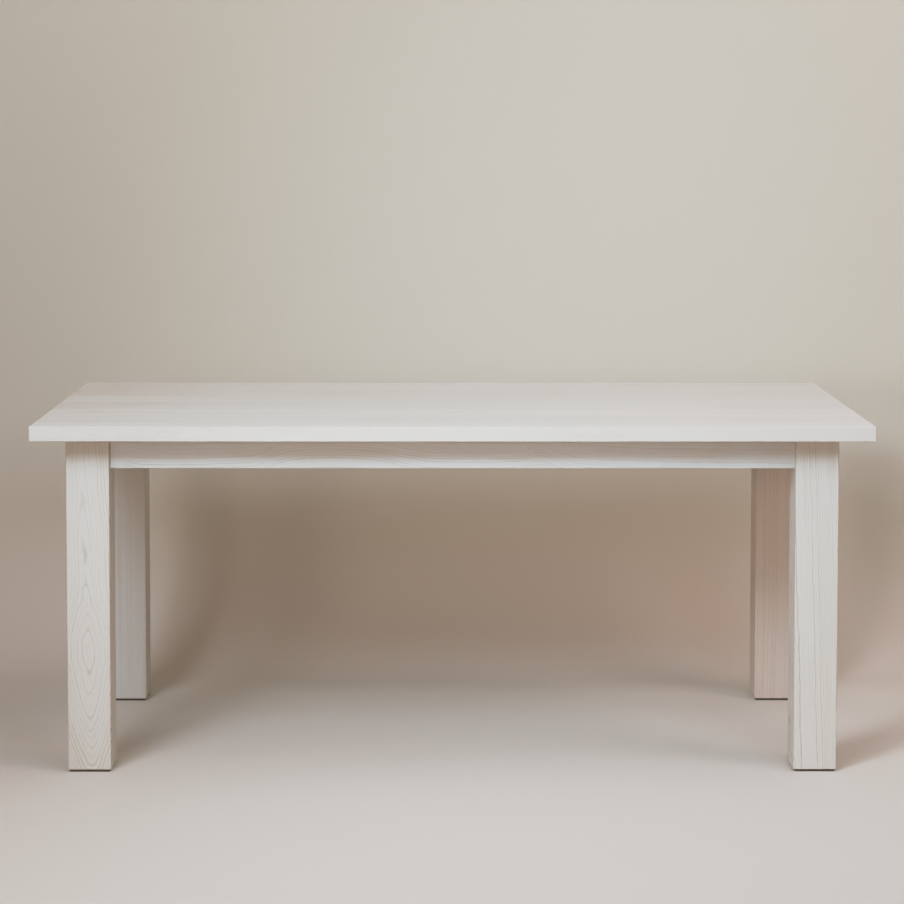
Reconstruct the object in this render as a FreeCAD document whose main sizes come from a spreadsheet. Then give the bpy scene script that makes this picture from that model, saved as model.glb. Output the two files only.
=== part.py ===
# A solid ash dining table: a plank top, four square legs, an apron frame and bolted corner blocks.
# +X runs along the table, +Y from the front edge to the rear edge and +Z up.
# The origin is on the floor under the middle of the top. Lengths are in millimetres.

import FreeCAD, Part
import os

import Sketcher
from FreeCAD import Placement, Rotation, Vector

# Driving dimensions

SIZES = {
    # Top
    "top_length": 1800.0,
    "top_width": 900.0,
    "table_height": 760.0,
    "top_thickness": 32.0,
    "top_edge_round": 3.0,
    # Legs and feet
    "leg_side": 93.0,
    "end_overhang": 68.0,
    "side_overhang": 68.0,
    "leg_edge_round": 2.0,
    "leg_flat": 30.0,
    "pad_thickness": 5.0,
    "pad_inset": 2.5,
    # Apron frame
    "apron_height": 68.0,
    "apron_thickness": 25.0,
    "apron_setback": 10.0,
    "apron_edge_round": 2.0,
    "groove_drop": 10.0,
    "groove_width": 4.0,
    "groove_depth": 9.0,
    # Cross rail
    "rail_thickness": 30.0,
    "rail_height": 48.0,
    "tenon_thickness": 10.0,
    "tenon_shoulder": 9.0,
    "tenon_length": 12.0,
    "joint_clearance": 0.2,
    # Corner blocks
    "block_thickness": 28.0,
    "block_lift": 6.0,
    "block_drop": 8.0,
    "draw_gap": 0.8,
    # Hanger bolts, washers and nuts
    "bolt_diameter": 8.0,
    "bolt_bite": 45.0,
    "bolt_tip": 7.0,
    "bolt_chamfer": 1.0,
    "bolt_stickout": 5.0,
    "bolt_clearance": 0.5,
    "washer_diameter": 20.0,
    "washer_thickness": 2.0,
    "nut_flats": 13.0,
    "nut_height": 6.5,
    # Screws
    "screw_diameter": 4.0,
    "screw_head": 8.0,
    "screw_point": 4.0,
    "screw_fit": 0.1,
    "block_screw_seat": 12.0,
    "block_screw_bite": 18.0,
    "counterbore_clearance": 0.5,
    "pan_head_height": 2.6,
    "top_screw_bite": 16.0,
    # Clips that hold the top down
    "clip_width": 18.0,
    "clip_thickness": 2.0,
    "clip_tongue": 7.0,
    "clip_standoff": 1.0,
    "clip_flange": 18.0,
    "clip_fit": 0.3,
    # How far a cut runs past the wood that it removes
    "cut_overrun": 1.0,
}

# Places given as shares of the size that they follow

BOARD_EDGE_SHARES = (0.0, 0.085, 0.21, 0.36, 0.52, 0.665, 0.82, 1.0)
LONG_CLIP_SHARES = (0.14, 0.37, 0.63, 0.86)
END_CLIP_SHARES = (0.26, 0.74)
BOLT_HEIGHT_SHARES = (0.25, 0.75)
BLOCK_SCREW_HEIGHT_SHARES = (0.25, 0.75)

# Sizes that follow from the others

HALF_LENGTH = "({top_length} / 2)"
HALF_WIDTH = "({top_width} / 2)"
TOP_UNDERSIDE = "({table_height} - {top_thickness})"
LEG_HEIGHT = "({table_height} - {top_thickness} - {pad_thickness})"
PAD_SIDE = "({leg_side} - 2 * {pad_inset})"
LONG_APRON = "({top_length} - 2 * {end_overhang} - 2 * {leg_side})"
END_APRON = "({top_width} - 2 * {side_overhang} - 2 * {leg_side})"
APRON_BOTTOM = f"({TOP_UNDERSIDE} - {{apron_height}})"
APRON_INSIDE = "({apron_setback} + {apron_thickness})"
GROOVE_TOP = "({apron_height} - {groove_drop})"
GROOVE_FLOOR = "({apron_thickness} - {groove_depth})"
RAIL_SPAN = f"({{top_width}} - 2 * {{side_overhang}} - 2 * {APRON_INSIDE})"
RAIL_GROOVE_TOP = "({rail_height} - {groove_drop})"
TENON_HEIGHT = "({rail_height} - 2 * {tenon_shoulder})"
TENON_LIFT = "({apron_height} - {rail_height} + {tenon_shoulder})"

# In plan each corner is measured from the outer corner of its leg, u along one apron and v along
# the other. A line across the corner is named by u + v.

FLAT_LINE = "(2 * {leg_side} - {leg_flat})"
BLOCK_OUTER_LINE = f"({FLAT_LINE} + {{draw_gap}} * sqrt(2))"
BLOCK_INNER_LINE = f"({BLOCK_OUTER_LINE} + {{block_thickness}} * sqrt(2))"
BLOCK_HEIGHT = "({apron_height} - {block_lift} - {block_drop})"
BLOCK_NEAR = f"({BLOCK_OUTER_LINE} - {APRON_INSIDE})"
BLOCK_FAR = f"({BLOCK_INNER_LINE} - {APRON_INSIDE})"
BLOCK_SCREW_U = f"(({BLOCK_NEAR} + {BLOCK_FAR}) / 2)"
BLOCK_SCREW_V = f"({APRON_INSIDE} + {{block_screw_seat}})"
BOLT_END = (
    "({draw_gap} + {block_thickness} + {washer_thickness} + {nut_height} + {bolt_stickout})"
)
CLIP_DROP = "({groove_drop} + {clip_fit} + {clip_thickness})"
CLIP_SCREW_REACH = "({clip_standoff} + {clip_thickness} + {clip_flange} / 2)"
CORNER_X = "({top_length} / 2 - {end_overhang})"
CORNER_Y = "({top_width} / 2 - {side_overhang})"

# Turns of the sketches, and the names that follow the frame round from its front left corner

ACROSS_CORNER = Rotation(Vector(-1, 1, 0), Vector(0, 0, 1), Vector(1, 1, 0), "ZXY")
FACING_V = Rotation(Vector(-1, 0, 0), Vector(0, 0, 1), Vector(0, 1, 0), "ZXY")
FACING_U = Rotation(Vector(0, 1, 0), Vector(0, 0, 1), Vector(1, 0, 0), "ZXY")
ALONG_DIAGONAL = Rotation(Vector(0, 0, 1), 45).multiply(Rotation(Vector(0, 1, 0), 90))
SIDES = ("front", "right", "rear", "left")
CORNERS = ("front_left", "front_right", "rear_right", "rear_left")
CORNER_SIGNS = ((-1, -1), (1, -1), (1, 1), (-1, 1))
SAME_PLACE = 1e-5

doc = FreeCAD.newDocument("dining_table")


# Size sheet and expressions


def size_sheet():
    """Write the driving dimensions to a sheet, one named cell for each."""
    sheet = doc.addObject("Spreadsheet::Sheet", "Sizes")
    for row, (name, value) in enumerate(SIZES.items(), start=1):
        sheet.set(f"A{row}", name)
        sheet.set(f"B{row}", str(value))
        sheet.setAlias(f"B{row}", name)
    doc.recompute()


def sized(text):
    """Turn each {name} of a text into that cell of the sheet."""
    return text.format_map({name: f"Sizes.{name}" for name in SIZES})


def value_of(owner, text):
    """The present value of an expression."""
    return float(owner.evalExpression(sized(text)))


def turned(u, v, quarters):
    """A place in plan after so many quarter turns about the vertical."""
    back_u = f"(-1 * {u})"
    back_v = f"(-1 * {v})"
    return ((u, v), (back_v, u), (back_u, back_v), (v, back_u))[quarters]


def from_corner(quarters, u, v):
    """The place at u and v from the outer corner of a leg."""
    sign_x, sign_y = CORNER_SIGNS[quarters]
    shift_x, shift_y = turned(u, v, quarters)
    return f"{sign_x} * {CORNER_X} + {shift_x}", f"{sign_y} * {CORNER_Y} + {shift_y}"


def about_z(quarters):
    """So many quarter turns about the vertical."""
    return Rotation(Vector(0, 0, 1), 90 * quarters)


def place(item, x, y, z, rotation=None):
    """Put an object at a place tied to the sheet."""
    item.Placement = Placement(Vector(), rotation or Rotation())
    for axis, text in zip("xyz", (x, y, z)):
        item.setExpression(f"Placement.Base.{axis}", sized(text))


# Sketches and the features made from them


def new_body(label):
    """An empty body with its own label."""
    piece = doc.addObject("PartDesign::Body", label)
    piece.Label = label
    return piece


def new_sketch(piece, name, role="XY_Plane", at=("0", "0", "0"), rotation=None):
    """A sketch on one of the body's own planes, moved and turned from it."""
    plane = [item for item in piece.Origin.OriginFeatures if item.Role == role][0]
    drawn = piece.newObject("Sketcher::SketchObject", name)
    drawn.AttachmentSupport = [(plane, "")]
    drawn.MapMode = "FlatFace"
    drawn.AttachmentOffset = Placement(Vector(), rotation or Rotation())
    for axis, text in zip("xyz", at):
        if text != "0":
            drawn.setExpression(f"AttachmentOffset.Base.{axis}", sized(text))
    return drawn


def tie_point(drawn, geometry, point, x, y):
    """Tie one point of a sketch to its distances from the two axes."""
    for kind, axis, text in (("DistanceX", -2, x), ("DistanceY", -1, y)):
        if text == "0":
            drawn.addConstraint(Sketcher.Constraint("PointOnObject", geometry, point, axis))
            continue
        distance = value_of(drawn, text)
        index = drawn.addConstraint(
            Sketcher.Constraint(kind, -1, 1, geometry, point, distance)
        )
        drawn.setExpression(f"Constraints[{index}]", sized(text))


def draw_outline(drawn, corners):
    """Draw a closed outline of straight lines through tied corners."""
    first = drawn.GeometryCount
    count = len(corners)
    points = [Vector(value_of(drawn, x), value_of(drawn, y), 0) for x, y in corners]
    for number in range(count):
        drawn.addGeometry(Part.LineSegment(points[number], points[(number + 1) % count]))
    for number in range(count):
        following = first + (number + 1) % count
        drawn.addConstraint(
            Sketcher.Constraint("Coincident", first + number, 2, following, 1)
        )
    for number, (x, y) in enumerate(corners):
        tie_point(drawn, first + number, 1, x, y)


def draw_rectangle(drawn, x, y, width, height):
    """Draw a rectangle from its lower left corner and its two sides."""
    right = width if x == "0" else f"({x} + {width})"
    upper = height if y == "0" else f"({y} + {height})"
    draw_outline(drawn, [(x, y), (right, y), (right, upper), (x, upper)])


def draw_circle(drawn, x, y, radius):
    """Draw a circle about a tied centre."""
    centre = Vector(value_of(drawn, x), value_of(drawn, y), 0)
    size = value_of(drawn, radius)
    number = drawn.addGeometry(Part.Circle(centre, Vector(0, 0, 1), size))
    tie_point(drawn, number, 3, x, y)
    index = drawn.addConstraint(Sketcher.Constraint("Radius", number, size))
    drawn.setExpression(f"Constraints[{index}]", sized(radius))


def pad(piece, drawn, name, length, side="One side"):
    """Raise a sketch into wood or metal."""
    raised = piece.newObject("PartDesign::Pad", name)
    raised.Profile = drawn
    raised.SideType = side
    raised.setExpression("Length", sized(length))
    doc.recompute()
    return raised


def pocket(piece, drawn, name, depth):
    """Cut a sketch into the piece, and make sure that it removes something."""
    before = piece.Shape.Volume
    cut = piece.newObject("PartDesign::Pocket", name)
    cut.Profile = drawn
    cut.setExpression("Length", sized(depth))
    doc.recompute()
    if not cut.Shape.Volume < before:
        raise RuntimeError(f"{piece.Label}: {name} removes nothing")
    return cut


def revolve(piece, drawn, name):
    """Turn a half profile about the vertical axis of its sketch."""
    turned_piece = piece.newObject("PartDesign::Revolution", name)
    turned_piece.Profile = drawn
    turned_piece.ReferenceAxis = (drawn, ["V_Axis"])
    turned_piece.Angle = 360
    doc.recompute()
    return turned_piece


def round_edges(piece, base, name, radius, chosen):
    """Round the edges that a test picks."""
    edges = [f"Edge{i}" for i, edge in enumerate(base.Shape.Edges, 1) if chosen(edge.BoundBox)]
    rounded = piece.newObject("PartDesign::Fillet", name)
    rounded.Base = (base, edges)
    rounded.setExpression("Radius", sized(radius))
    doc.recompute()
    return rounded


def same(one, other):
    """Whether two coordinates agree."""
    return abs(one - other) < SAME_PLACE


# Groups of equal fasteners


def fastener_group(label, pattern, sites):
    """One node that holds a copy of a fastener at each of its sites."""
    copies = []
    for number, (x, y, z, rotation) in enumerate(sites, start=1):
        copy = doc.addObject("App::Link", f"{label}_{number}")
        copy.LinkedObject = pattern
        place(copy, x, y, z, rotation)
        copies.append(copy)
    group = doc.addObject("Part::Compound", label)
    group.Label = label
    group.Links = copies
    doc.recompute()
    return group


# Pieces of the top


def top_board(number, pilots):
    """One plank of the top, eased where it is not glued to the next one."""
    label = f"top_board_{number}"
    low, high = BOARD_EDGE_SHARES[number - 1 : number + 1]
    width = f"(({high} - {low}) * {{top_width}})"
    piece = new_body(f"{label}_plank")
    plan = new_sketch(piece, f"{label}_plan")
    draw_rectangle(plan, "0", "0", "{top_length}", width)
    plank = pad(piece, plan, f"{label}_thickness", "{top_thickness}")
    glued = []
    if number > 1:
        glued.append(0.0)
    if number < len(BOARD_EDGE_SHARES) - 1:
        glued.append(value_of(piece, width))

    def free(box):
        return not any(same(box.YMin, seam) and same(box.YMax, seam) for seam in glued)

    round_edges(piece, plank, f"{label}_eased", "{top_edge_round}", free)
    place(
        piece,
        f"-1 * {HALF_LENGTH}",
        f"{low} * {{top_width}} - {HALF_WIDTH}",
        TOP_UNDERSIDE,
    )
    board = doc.addObject("Part::Cut", label)
    board.Label = label
    board.Base = piece
    board.Tool = pilots
    doc.recompute()
    return board


# Legs and feet


def leg(corner, quarters):
    """A square post with a flat for its bolts across the inner corner, behind the aprons."""
    label = f"leg_{corner}"
    piece = new_body(label)
    plan = new_sketch(piece, f"{label}_plan")
    draw_rectangle(plan, "0", "0", "{leg_side}", "{leg_side}")
    post = pad(piece, plan, f"{label}_post", LEG_HEIGHT)
    top = value_of(piece, LEG_HEIGHT)

    def below_top(box):
        return not same(box.ZMin, top)

    round_edges(piece, post, f"{label}_eased", "{leg_edge_round}", below_top)
    flat = new_sketch(piece, f"{label}_flat_plan", at=("0", "0", LEG_HEIGHT))
    inner = "({leg_side} - {leg_flat} - {cut_overrun})"
    outer = "({leg_side} + {cut_overrun})"
    draw_outline(flat, [(inner, outer), (outer, inner), (outer, outer)])
    pocket(piece, flat, f"{label}_flat", "{apron_height}")
    middle = f"({FLAT_LINE} / 2)"
    base = f"({LEG_HEIGHT} - {{apron_height}} + {{block_lift}})"
    bores = new_sketch(
        piece, f"{label}_bolt_plan", at=(middle, middle, base), rotation=ACROSS_CORNER
    )
    for share in BOLT_HEIGHT_SHARES:
        draw_circle(
            bores, "0", f"({share} * {BLOCK_HEIGHT})", "({bolt_diameter} / 2 + {screw_fit})"
        )
    pocket(piece, bores, f"{label}_bolt_holes", "{bolt_bite} + {screw_fit}")
    x, y = from_corner(quarters, "0", "0")
    place(piece, x, y, "{pad_thickness}", about_z(quarters))
    return piece


def foot_pad(corner, quarters):
    """The felt pad under a leg."""
    label = f"foot_pad_{corner}"
    piece = doc.addObject("Part::Box", label)
    piece.Label = label
    for side, text in (
        ("Length", PAD_SIDE),
        ("Width", PAD_SIDE),
        ("Height", "{pad_thickness}"),
    ):
        piece.setExpression(side, sized(text))
    x, y = from_corner(quarters, "{pad_inset}", "{pad_inset}")
    place(piece, x, y, "0", about_z(quarters))
    return piece


# Apron frame


def apron(side, quarters):
    """A rail of the frame, with a groove for the clips along its inner face."""
    label = f"apron_{side}"
    is_long = side in ("front", "rear")
    length = LONG_APRON if is_long else END_APRON
    piece = new_body(label)
    section = new_sketch(piece, f"{label}_section", "YZ_Plane")
    groove_bottom = f"({GROOVE_TOP} - {{groove_width}})"
    draw_outline(
        section,
        [
            ("0", "0"),
            ("{apron_thickness}", "0"),
            ("{apron_thickness}", groove_bottom),
            (GROOVE_FLOOR, groove_bottom),
            (GROOVE_FLOOR, GROOVE_TOP),
            ("{apron_thickness}", GROOVE_TOP),
            ("{apron_thickness}", "{apron_height}"),
            ("0", "{apron_height}"),
        ],
    )
    board = pad(piece, section, f"{label}_length", length)

    def long_lower(box):
        return same(box.ZMax, 0.0) and same(box.YMin, box.YMax)

    round_edges(piece, board, f"{label}_eased", "{apron_edge_round}", long_lower)
    pilots = new_sketch(
        piece,
        f"{label}_pilot_plan",
        at=(length, "{apron_thickness}", "0"),
        rotation=FACING_V,
    )
    reach = f"({BLOCK_SCREW_U} - {{leg_side}})"
    for along in (reach, f"({length} - {reach})"):
        for share in BLOCK_SCREW_HEIGHT_SHARES:
            draw_circle(
                pilots,
                along,
                f"({{block_lift}} + {share} * {BLOCK_HEIGHT})",
                "({screw_diameter} / 2 + {screw_fit})",
            )
    pocket(piece, pilots, f"{label}_pilots", "{block_screw_bite} + {screw_fit}")
    if is_long:
        mortise = new_sketch(
            piece,
            f"{label}_mortise_plan",
            at=(length, "{apron_thickness}", "0"),
            rotation=FACING_V,
        )
        width = "({tenon_thickness} + 2 * {joint_clearance})"
        draw_rectangle(
            mortise,
            f"(({length} - {width}) / 2)",
            f"({TENON_LIFT} - {{joint_clearance}})",
            width,
            f"({TENON_HEIGHT} + 2 * {{joint_clearance}})",
        )
        pocket(piece, mortise, f"{label}_mortise", "{tenon_length} + {joint_clearance}")
    x, y = from_corner(quarters, "{leg_side}", "{apron_setback}")
    place(piece, x, y, APRON_BOTTOM, about_z(quarters))
    return piece


def cross_rail():
    """The rail between the long aprons, tenoned into both and grooved along both faces."""
    piece = new_body("cross_rail")
    section = new_sketch(piece, "cross_rail_section", "XZ_Plane")
    groove_bottom = f"({RAIL_GROOVE_TOP} - {{groove_width}})"
    far_floor = "({rail_thickness} - {groove_depth})"
    draw_outline(
        section,
        [
            ("0", "0"),
            ("{rail_thickness}", "0"),
            ("{rail_thickness}", groove_bottom),
            (far_floor, groove_bottom),
            (far_floor, RAIL_GROOVE_TOP),
            ("{rail_thickness}", RAIL_GROOVE_TOP),
            ("{rail_thickness}", "{rail_height}"),
            ("0", "{rail_height}"),
            ("0", RAIL_GROOVE_TOP),
            ("{groove_depth}", RAIL_GROOVE_TOP),
            ("{groove_depth}", groove_bottom),
            ("0", groove_bottom),
        ],
    )
    pad(piece, section, "cross_rail_bar", RAIL_SPAN, side="Symmetric")
    tenons = new_sketch(piece, "cross_rail_tenon_section", "XZ_Plane")
    draw_rectangle(
        tenons,
        "(({rail_thickness} - {tenon_thickness}) / 2)",
        "{tenon_shoulder}",
        "{tenon_thickness}",
        TENON_HEIGHT,
    )
    length = f"({RAIL_SPAN} + 2 * {{tenon_length}})"
    pad(piece, tenons, "cross_rail_tenons", length, side="Symmetric")
    place(piece, "-1 * {rail_thickness} / 2", "0", f"{TOP_UNDERSIDE} - {{rail_height}}")
    return piece


def corner_block(corner, quarters):
    """The block across a corner, bored for two bolts and for two screws into each apron."""
    label = f"corner_block_{corner}"
    piece = new_body(label)
    plan = new_sketch(piece, f"{label}_plan")
    draw_outline(
        plan,
        [
            (BLOCK_NEAR, APRON_INSIDE),
            (BLOCK_FAR, APRON_INSIDE),
            (APRON_INSIDE, BLOCK_FAR),
            (APRON_INSIDE, BLOCK_NEAR),
        ],
    )
    pad(piece, plan, f"{label}_bar", BLOCK_HEIGHT)
    middle = f"({BLOCK_INNER_LINE} / 2)"
    bolt_holes = new_sketch(
        piece, f"{label}_bolt_plan", at=(middle, middle, "0"), rotation=ACROSS_CORNER
    )
    for share in BOLT_HEIGHT_SHARES:
        draw_circle(
            bolt_holes,
            "0",
            f"({share} * {BLOCK_HEIGHT})",
            "({bolt_diameter} / 2 + {bolt_clearance})",
        )
    pocket(piece, bolt_holes, f"{label}_bolt_holes", "{block_thickness} + {cut_overrun}")
    head_bore = "({screw_head} / 2 + {counterbore_clearance})"
    shank_bore = "({screw_diameter} / 2 + {screw_fit})"
    for name, rotation, swap in (("v", FACING_V, False), ("u", FACING_U, True)):
        for step, start, radius, depth in (
            ("head", BLOCK_FAR, head_bore, f"{BLOCK_FAR} - {BLOCK_SCREW_V}"),
            ("shank", BLOCK_SCREW_V, shank_bore, "{block_screw_seat} + {cut_overrun}"),
        ):
            spot = (start, BLOCK_SCREW_U, "0") if swap else (BLOCK_SCREW_U, start, "0")
            bores = new_sketch(piece, f"{label}_{step}_{name}_plan", at=spot, rotation=rotation)
            for share in BLOCK_SCREW_HEIGHT_SHARES:
                draw_circle(bores, "0", f"({share} * {BLOCK_HEIGHT})", radius)
            pocket(piece, bores, f"{label}_{step}_{name}", depth)
    x, y = from_corner(quarters, "0", "0")
    place(piece, x, y, f"{APRON_BOTTOM} + {{block_lift}}", about_z(quarters))
    return piece


# One of each fastener, standing on its own origin


def hanger_bolt():
    """A stud with a pointed end for the leg and a chamfered end for the nut."""
    piece = new_body("hanger_bolt")
    profile = new_sketch(piece, "hanger_bolt_profile", "XZ_Plane")
    radius = "({bolt_diameter} / 2)"
    length = f"({{bolt_bite}} + {BOLT_END})"
    draw_outline(
        profile,
        [
            ("0", "0"),
            (radius, "{bolt_tip}"),
            (radius, f"({length} - {{bolt_chamfer}})"),
            (f"({radius} - {{bolt_chamfer}})", length),
            ("0", length),
        ],
    )
    revolve(piece, profile, "hanger_bolt_stud")
    return piece


def washer():
    """A flat washer."""
    piece = new_body("bolt_washer")
    profile = new_sketch(piece, "bolt_washer_profile", "XZ_Plane")
    bore = "({bolt_diameter} / 2 + {bolt_clearance})"
    draw_rectangle(
        profile, bore, "0", f"({{washer_diameter}} / 2 - {bore})", "{washer_thickness}"
    )
    revolve(piece, profile, "bolt_washer_disc")
    return piece


def hexagon_nut():
    """A hexagon nut."""
    hexagon = doc.addObject("Part::Prism", "nut_hexagon")
    hexagon.Polygon = 6
    hexagon.setExpression("Circumradius", sized("{nut_flats} / sqrt(3)"))
    hexagon.setExpression("Height", sized("{nut_height}"))
    bore = doc.addObject("Part::Cylinder", "nut_bore")
    bore.setExpression("Radius", sized("{bolt_diameter} / 2 + {screw_fit}"))
    bore.setExpression("Height", sized("{nut_height} + 2 * {cut_overrun}"))
    place(bore, "0", "0", "-1 * {cut_overrun}")
    nut = doc.addObject("Part::Cut", "hexagon_nut")
    nut.Base = hexagon
    nut.Tool = bore
    doc.recompute()
    return nut


def block_screw():
    """A pan-head wood screw, point down."""
    piece = new_body("block_screw")
    profile = new_sketch(piece, "block_screw_profile", "XZ_Plane")
    shank = "({screw_diameter} / 2)"
    head = "({screw_head} / 2)"
    length = "({block_screw_bite} + {block_screw_seat})"
    crown = f"({length} + {{pan_head_height}})"
    draw_outline(
        profile,
        [
            ("0", "0"),
            (shank, "{screw_point}"),
            (shank, length),
            (head, length),
            (head, crown),
            ("0", crown),
        ],
    )
    revolve(piece, profile, "block_screw_body")
    return piece


def top_screw():
    """A pan-head wood screw, point up."""
    piece = new_body("top_screw")
    profile = new_sketch(piece, "top_screw_profile", "XZ_Plane")
    shank = "({screw_diameter} / 2)"
    head = "({screw_head} / 2)"
    tip = "({pan_head_height} + {clip_thickness} + {top_screw_bite})"
    draw_outline(
        profile,
        [
            ("0", "0"),
            (head, "0"),
            (head, "{pan_head_height}"),
            (shank, "{pan_head_height}"),
            (shank, f"({tip} - {{screw_point}})"),
            ("0", tip),
        ],
    )
    revolve(piece, profile, "top_screw_body")
    return piece


def top_pilot():
    """The hole that a top screw is driven into."""
    drill = doc.addObject("Part::Cylinder", "top_pilot")
    drill.setExpression("Radius", sized("{screw_diameter} / 2 + {screw_fit}"))
    drill.setExpression("Height", sized("{top_screw_bite} + {screw_fit} + {cut_overrun}"))
    return drill


def top_clip():
    """A Z-shaped clip: a tongue for the groove, a riser and a flange under the top."""
    piece = new_body("top_clip")
    profile = new_sketch(piece, "top_clip_profile", "YZ_Plane")
    riser_near = "({clip_tongue} + {clip_standoff})"
    riser_far = "({clip_tongue} + {clip_standoff} + {clip_thickness})"
    flange_end = f"({riser_far} + {{clip_flange}})"
    flange_under = "({groove_drop} + {clip_fit})"
    draw_outline(
        profile,
        [
            ("0", "0"),
            (riser_far, "0"),
            (riser_far, flange_under),
            (flange_end, flange_under),
            (flange_end, CLIP_DROP),
            (riser_near, CLIP_DROP),
            (riser_near, "{clip_thickness}"),
            ("0", "{clip_thickness}"),
        ],
    )
    pad(piece, profile, "top_clip_strip", "{clip_width}", side="Symmetric")
    hole = new_sketch(piece, "top_clip_hole_plan", at=("0", "0", CLIP_DROP))
    draw_circle(
        hole,
        "0",
        f"({{clip_tongue}} + {CLIP_SCREW_REACH})",
        "({screw_diameter} / 2 + {screw_fit})",
    )
    pocket(piece, hole, "top_clip_hole", "{clip_thickness} + {cut_overrun}")
    return piece


# Sites of the fasteners


def bolt_sites(line):
    """Places on the diagonal of each corner, at both bolt heights, facing the middle."""
    sites = []
    for quarters in range(len(CORNERS)):
        x, y = from_corner(quarters, line, line)
        rotation = about_z(quarters).multiply(ALONG_DIAGONAL)
        for share in BOLT_HEIGHT_SHARES:
            z = f"{APRON_BOTTOM} + {{block_lift}} + {share} * {BLOCK_HEIGHT}"
            sites.append((x, y, z, rotation))
    return sites


def block_screw_sites():
    """Two screws into each of the aprons that meet at each corner."""
    point = f"({APRON_INSIDE} - {{block_screw_bite}})"
    sites = []
    for quarters in range(len(CORNERS)):
        for u, v, lean in (
            (BLOCK_SCREW_U, point, Rotation(Vector(1, 0, 0), -90)),
            (point, BLOCK_SCREW_U, Rotation(Vector(0, 1, 0), 90)),
        ):
            x, y = from_corner(quarters, u, v)
            rotation = about_z(quarters).multiply(lean)
            for share in BLOCK_SCREW_HEIGHT_SHARES:
                z = f"{APRON_BOTTOM} + {{block_lift}} + {share} * {BLOCK_HEIGHT}"
                sites.append((x, y, z, rotation))
    return sites


def clip_sites(reach, z):
    """Places at a distance inward of each grooved face, along the aprons and the rail."""
    sites = []
    for quarters, side in enumerate(SIDES):
        is_long = side in ("front", "rear")
        length = LONG_APRON if is_long else END_APRON
        shares = LONG_CLIP_SHARES if is_long else END_CLIP_SHARES
        for share in shares:
            u = f"({{leg_side}} + {share} * {length})"
            x, y = from_corner(quarters, u, f"({APRON_INSIDE} + {reach})")
            sites.append((x, y, z, about_z(quarters)))
    for quarters, sign in ((3, 1), (1, -1)):
        x = f"{sign} * ({{rail_thickness}} / 2 + {reach})"
        sites.append((x, "0", z, about_z(quarters)))
    return sites


# Assembly


size_sheet()

clip_tongues = clip_sites("(-1 * {clip_tongue})", f"{TOP_UNDERSIDE} - {CLIP_DROP}")
screw_heads = clip_sites(
    CLIP_SCREW_REACH, f"{TOP_UNDERSIDE} - {{clip_thickness}} - {{pan_head_height}}"
)
pilot_feet = clip_sites(CLIP_SCREW_REACH, f"{TOP_UNDERSIDE} - {{cut_overrun}}")
bolt_tips = bolt_sites(f"({FLAT_LINE} / 2 - {{bolt_bite}} / sqrt(2))")
washer_seats = bolt_sites(f"({BLOCK_INNER_LINE} / 2)")
nut_seats = bolt_sites(f"({BLOCK_INNER_LINE} / 2 + {{washer_thickness}} / sqrt(2))")

pilots = fastener_group("top_pilots", top_pilot(), pilot_feet)
parts = [top_board(number, pilots) for number in range(1, len(BOARD_EDGE_SHARES))]
parts += [leg(corner, quarters) for quarters, corner in enumerate(CORNERS)]
parts += [foot_pad(corner, quarters) for quarters, corner in enumerate(CORNERS)]
parts += [apron(side, quarters) for quarters, side in enumerate(SIDES)]
parts.append(cross_rail())
parts += [corner_block(corner, quarters) for quarters, corner in enumerate(CORNERS)]
parts.append(fastener_group("hanger_bolts", hanger_bolt(), bolt_tips))
parts.append(fastener_group("bolt_washers", washer(), washer_seats))
parts.append(fastener_group("bolt_nuts", hexagon_nut(), nut_seats))
parts.append(fastener_group("block_screws", block_screw(), block_screw_sites()))
parts.append(fastener_group("top_clips", top_clip(), clip_tongues))
parts.append(fastener_group("top_screws", top_screw(), screw_heads))

# Checks and export

doc.recompute()
for item in doc.Objects:
    if "Invalid" in item.State or "Error" in item.State:
        raise RuntimeError(f"{item.Label} is in error: {item.State}")

os.makedirs("parts", exist_ok=True)
for item in parts:
    shape = item.Shape
    if shape.isNull() or not shape.isValid():
        raise RuntimeError(f"{item.Label} has no valid shape")
    shape.exportStep(f"parts/{item.Label}.step")
    print(f"{item.Label}: {len(shape.Solids)} solids, {shape.Volume:.0f} mm3")
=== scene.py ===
# %% [markdown]
# A whitewashed ash dining table.
# The table is a plank top on four square legs, with a narrow apron frame behind the leg faces.
# A CAD frame already holds every piece at its real size. This lesson dresses that frame: the wood,
# felt and steel are modelled again where a finer shape shows, and every piece gets its finish.
# The frame is loaded first, because every size and place below is read against it.

# %% Load the frame
import itertools
import math

import bmesh
import bpy
from mathutils import Euler, Matrix, Vector


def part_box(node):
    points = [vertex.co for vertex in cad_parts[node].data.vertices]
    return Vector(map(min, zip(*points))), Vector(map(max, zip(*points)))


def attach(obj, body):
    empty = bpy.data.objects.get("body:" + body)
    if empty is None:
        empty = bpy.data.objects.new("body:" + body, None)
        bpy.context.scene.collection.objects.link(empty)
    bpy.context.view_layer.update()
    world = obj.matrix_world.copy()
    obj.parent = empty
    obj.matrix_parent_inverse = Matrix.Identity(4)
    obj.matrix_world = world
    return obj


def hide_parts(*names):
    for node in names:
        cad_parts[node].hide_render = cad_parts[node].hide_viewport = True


for startup in ("Cube", "Light", "Camera"):
    if startup in bpy.data.objects:
        bpy.data.objects.remove(bpy.data.objects[startup])

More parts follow.
